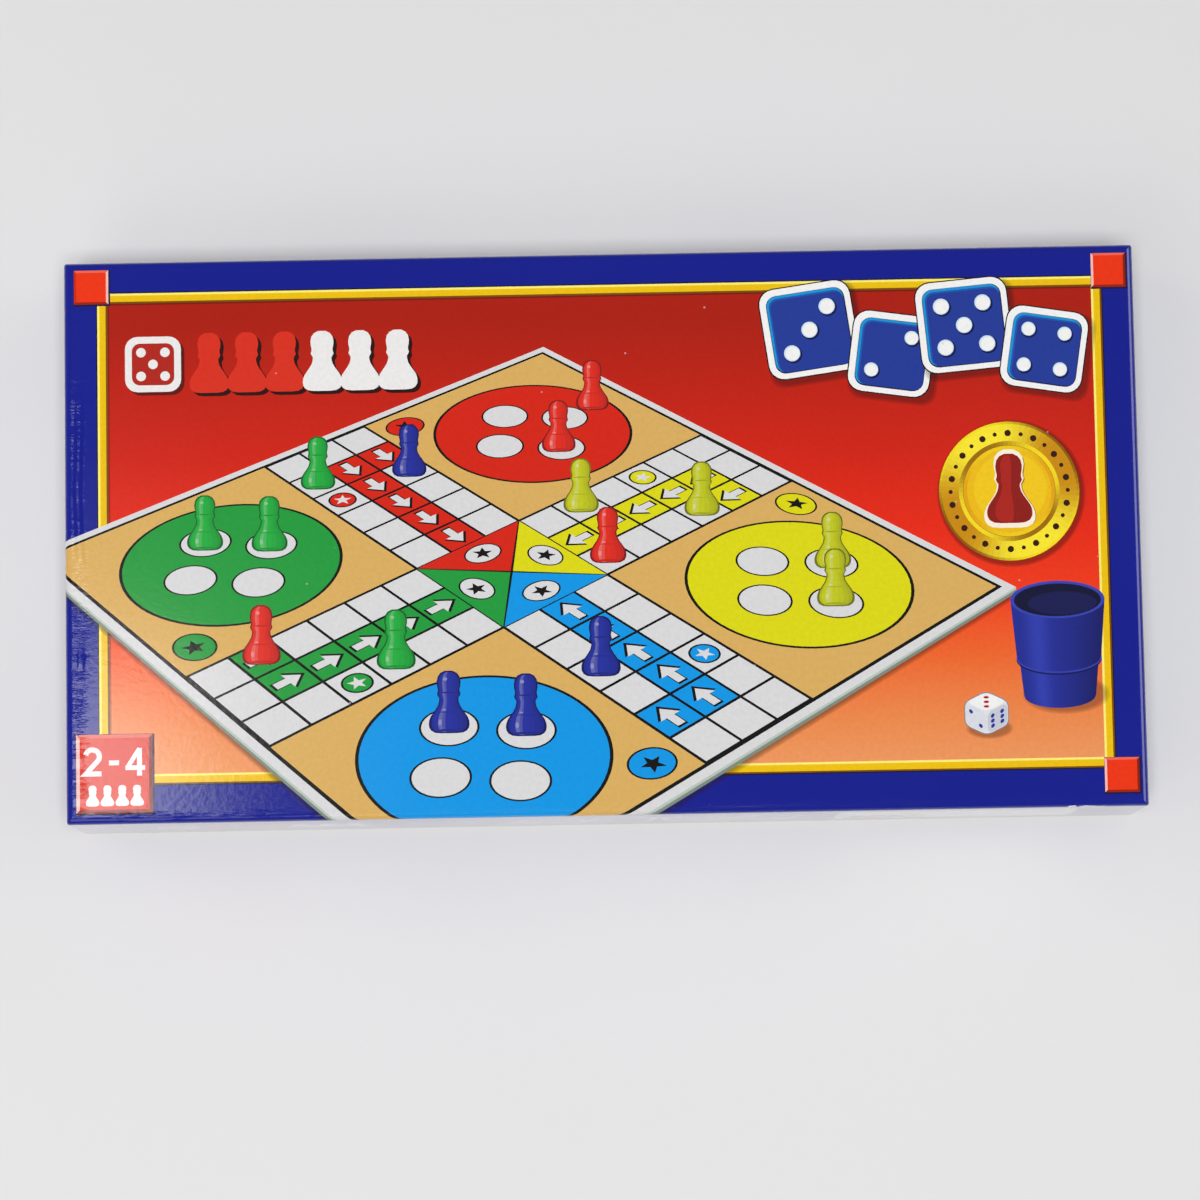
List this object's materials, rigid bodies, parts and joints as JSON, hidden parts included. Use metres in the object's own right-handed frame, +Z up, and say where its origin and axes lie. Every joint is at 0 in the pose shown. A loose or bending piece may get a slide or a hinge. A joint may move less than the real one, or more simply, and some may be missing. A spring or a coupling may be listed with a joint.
{
  "type": "folding ludo board box",
  "caption": "Two-piece lift-off carton for a race game: printed lid over a base, folded board on a partitioned insert that holds pawns, a shaker cup and a die.",
  "frame": {"origin": "middle of the carton's underside, on the table", "axes": "+X along the carton to the right of its cover, +Y across it to the back edge, +Z up"},
  "size_m": [0.27, 0.142, 0.04],
  "materials": {
    "lid_print": "printed and gloss laminated card",
    "base_card": "printed card outside, plain white inside",
    "insert_sheet": "plain folding boxboard",
    "board_core": "grey board",
    "board_print": "printed paper, satin",
    "board_back": "embossed paper, matt",
    "hinge_cloth": "book cloth",
    "cup_plastic": "glossy moulded",
    "die_plastic": "tumbled, painted pips",
    "pawn_green": "glossy moulded",
    "pawn_red": "glossy moulded",
    "pawn_blue": "glossy moulded",
    "pawn_yellow": "glossy moulded"
  },
  "bodies": {
    "base": {"base": "base_card", "insert_card": "insert_sheet", "divider_long": "insert_sheet", "divider_cells": "insert_sheet", "divider_bay": "insert_sheet"},
    "board_front": {"board_core_front": "board_core", "board_face_front": "board_print", "board_back_front": "board_back", "board_hinge_tape": "hinge_cloth"},
    "board_rear": {"board_core_rear": "board_core", "board_face_rear": "board_print", "board_back_rear": "board_back"},
    "lid": {"lid": "lid_print"},
    "green_pawn_1": {"green_pawn_1": "pawn_green"},
    "green_pawn_2": {"green_pawn_2": "pawn_green"},
    "green_pawn_3": {"green_pawn_3": "pawn_green"},
    "green_pawn_4": {"green_pawn_4": "pawn_green"},
    "red_pawn_1": {"red_pawn_1": "pawn_red"},
    "red_pawn_2": {"red_pawn_2": "pawn_red"},
    "red_pawn_3": {"red_pawn_3": "pawn_red"},
    "red_pawn_4": {"red_pawn_4": "pawn_red"},
    "blue_pawn_1": {"blue_pawn_1": "pawn_blue"},
    "blue_pawn_2": {"blue_pawn_2": "pawn_blue"},
    "blue_pawn_3": {"blue_pawn_3": "pawn_blue"},
    "blue_pawn_4": {"blue_pawn_4": "pawn_blue"},
    "yellow_pawn_1": {"yellow_pawn_1": "pawn_yellow"},
    "yellow_pawn_2": {"yellow_pawn_2": "pawn_yellow"},
    "yellow_pawn_3": {"yellow_pawn_3": "pawn_yellow"},
    "yellow_pawn_4": {"yellow_pawn_4": "pawn_yellow"},
    "dice_cup": {"dice_cup": "cup_plastic"},
    "die": {"die": "die_plastic"}
  },
  "joints": [
    {"name": "board_lift", "type": "slide", "parent": "base", "child": "board_front", "axis": [0, 0, 1], "range_m": [0, 0.12]},
    {"name": "lid_lift", "type": "slide", "parent": "board_front", "child": "lid", "axis": [0, 0, 1], "range_m": [0, 0.44]},
    {"name": "board_unfold", "type": "hinge", "parent": "board_front", "child": "board_rear", "pos_m": [0, 0.066, 0.03635], "axis": [-1, 0, 0], "range_deg": [0, 180], "deforming": ["board_hinge_tape"]},
    {"name": "green_pawn_1_lift", "type": "slide", "parent": "base", "child": "green_pawn_1", "axis": [0, 0, 1], "range_m": [0, 0.04]},
    {"name": "green_pawn_2_lift", "type": "slide", "parent": "base", "child": "green_pawn_2", "axis": [0, 0, 1], "range_m": [0, 0.04]},
    {"name": "green_pawn_3_lift", "type": "slide", "parent": "base", "child": "green_pawn_3", "axis": [0, 0, 1], "range_m": [0, 0.04]},
    {"name": "green_pawn_4_lift", "type": "slide", "parent": "base", "child": "green_pawn_4", "axis": [0, 0, 1], "range_m": [0, 0.04]},
    {"name": "red_pawn_1_lift", "type": "slide", "parent": "base", "child": "red_pawn_1", "axis": [0, 0, 1], "range_m": [0, 0.04]},
    {"name": "red_pawn_2_lift", "type": "slide", "parent": "base", "child": "red_pawn_2", "axis": [0, 0, 1], "range_m": [0, 0.04]},
    {"name": "red_pawn_3_lift", "type": "slide", "parent": "base", "child": "red_pawn_3", "axis": [0, 0, 1], "range_m": [0, 0.04]},
    {"name": "red_pawn_4_lift", "type": "slide", "parent": "base", "child": "red_pawn_4", "axis": [0, 0, 1], "range_m": [0, 0.04]},
    {"name": "blue_pawn_1_lift", "type": "slide", "parent": "base", "child": "blue_pawn_1", "axis": [0, 0, 1], "range_m": [0, 0.04]},
    {"name": "blue_pawn_2_lift", "type": "slide", "parent": "base", "child": "blue_pawn_2", "axis": [0, 0, 1], "range_m": [0, 0.04]},
    {"name": "blue_pawn_3_lift", "type": "slide", "parent": "base", "child": "blue_pawn_3", "axis": [0, 0, 1], "range_m": [0, 0.04]},
    {"name": "blue_pawn_4_lift", "type": "slide", "parent": "base", "child": "blue_pawn_4", "axis": [0, 0, 1], "range_m": [0, 0.04]},
    {"name": "yellow_pawn_1_lift", "type": "slide", "parent": "base", "child": "yellow_pawn_1", "axis": [0, 0, 1], "range_m": [0, 0.04]},
    {"name": "yellow_pawn_2_lift", "type": "slide", "parent": "base", "child": "yellow_pawn_2", "axis": [0, 0, 1], "range_m": [0, 0.04]},
    {"name": "yellow_pawn_3_lift", "type": "slide", "parent": "base", "child": "yellow_pawn_3", "axis": [0, 0, 1], "range_m": [0, 0.04]},
    {"name": "yellow_pawn_4_lift", "type": "slide", "parent": "base", "child": "yellow_pawn_4", "axis": [0, 0, 1], "range_m": [0, 0.04]},
    {"name": "cup_lift", "type": "slide", "parent": "base", "child": "dice_cup", "axis": [0, 0, 1], "range_m": [0, 0.06]},
    {"name": "die_lift", "type": "slide", "parent": "base", "child": "die", "axis": [0, 0, 1], "range_m": [0, 0.04]}
  ],
  "couplings": [
    {"joint": "board_unfold", "follows": "lid_lift", "rad_per_m": 7.1399},
    {"joint": "green_pawn_1_lift", "follows": "board_lift", "ratio": 0.3332},
    {"joint": "green_pawn_2_lift", "follows": "board_lift", "ratio": 0.3332},
    {"joint": "green_pawn_3_lift", "follows": "board_lift", "ratio": 0.3332},
    {"joint": "green_pawn_4_lift", "follows": "board_lift", "ratio": 0.3332},
    {"joint": "red_pawn_1_lift", "follows": "board_lift", "ratio": 0.3332},
    {"joint": "red_pawn_2_lift", "follows": "board_lift", "ratio": 0.3332},
    {"joint": "red_pawn_3_lift", "follows": "board_lift", "ratio": 0.3332},
    {"joint": "red_pawn_4_lift", "follows": "board_lift", "ratio": 0.3332},
    {"joint": "blue_pawn_1_lift", "follows": "board_lift", "ratio": 0.3332},
    {"joint": "blue_pawn_2_lift", "follows": "board_lift", "ratio": 0.3332},
    {"joint": "blue_pawn_3_lift", "follows": "board_lift", "ratio": 0.3332},
    {"joint": "blue_pawn_4_lift", "follows": "board_lift", "ratio": 0.3332},
    {"joint": "yellow_pawn_1_lift", "follows": "board_lift", "ratio": 0.3332},
    {"joint": "yellow_pawn_2_lift", "follows": "board_lift", "ratio": 0.3332},
    {"joint": "yellow_pawn_3_lift", "follows": "board_lift", "ratio": 0.3332},
    {"joint": "yellow_pawn_4_lift", "follows": "board_lift", "ratio": 0.3332},
    {"joint": "cup_lift", "follows": "board_lift", "ratio": 0.4999},
    {"joint": "die_lift", "follows": "board_lift", "ratio": 0.3332}
  ]
}
